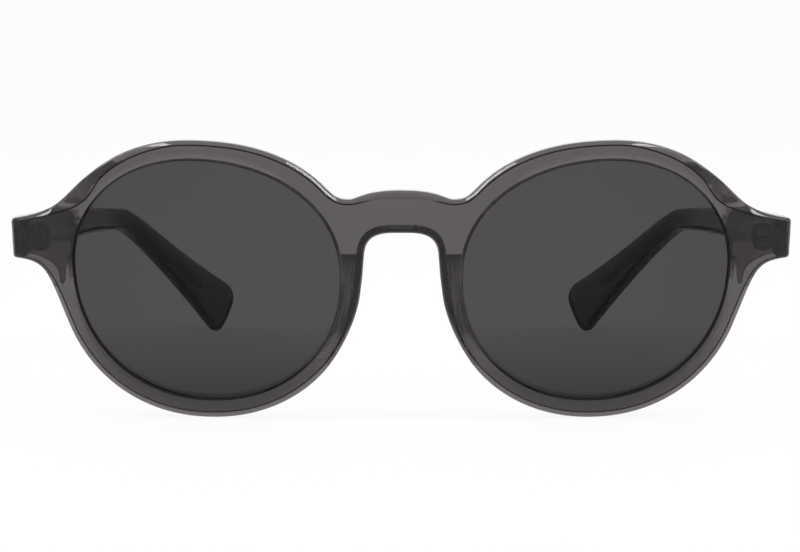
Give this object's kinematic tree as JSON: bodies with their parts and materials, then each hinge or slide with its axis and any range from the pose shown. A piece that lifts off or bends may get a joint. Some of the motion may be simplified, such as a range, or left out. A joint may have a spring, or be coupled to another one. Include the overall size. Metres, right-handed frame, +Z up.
{
  "type": "round acetate sunglasses",
  "caption": "Round sunglasses of smoke-grey clear acetate with tinted lenses, glued nose pads and temples that fold on five-knuckle screw hinges.",
  "frame": {"origin": "under the middle of the pair's box, on the table that the open pair stands on", "axes": "+X to the viewer's right, +Y back along the open temples, +Z up"},
  "size_m": [0.143, 0.1422, 0.0506],
  "materials": {
    "acetate": "clear smoke-grey acetate, polished",
    "pad_acetate": "clear smoke-grey acetate, polished",
    "lens_tint": "neutral grey tint, polished",
    "hinge_metal": "barrel-polished nickel silver",
    "screw_metal": "turned steel",
    "core_metal": "drawn nickel silver"
  },
  "bodies": {
    "front": {"front_frame": "acetate", "left_lens": "lens_tint", "right_lens": "lens_tint", "left_nose_pad": "pad_acetate", "right_nose_pad": "pad_acetate", "left_front_hinge": "hinge_metal", "right_front_hinge": "hinge_metal"},
    "left_temple_arm": {"left_temple": "acetate", "left_temple_hinge": "hinge_metal", "left_hinge_screw": "screw_metal", "left_core_wire": "core_metal"},
    "right_temple_arm": {"right_temple": "acetate", "right_temple_hinge": "hinge_metal", "right_hinge_screw": "screw_metal", "right_core_wire": "core_metal"}
  },
  "joints": [
    {"name": "left_temple_fold", "type": "hinge", "parent": "front", "child": "left_temple_arm", "pos_m": [-0.0662, -0.05774, 0.03254], "axis": [0, 0, -1], "range_deg": [0, 80]},
    {"name": "right_temple_fold", "type": "hinge", "parent": "front", "child": "right_temple_arm", "pos_m": [0.0662, -0.05774, 0.03254], "axis": [0, 0, 1], "range_deg": [0, 71]}
  ]
}
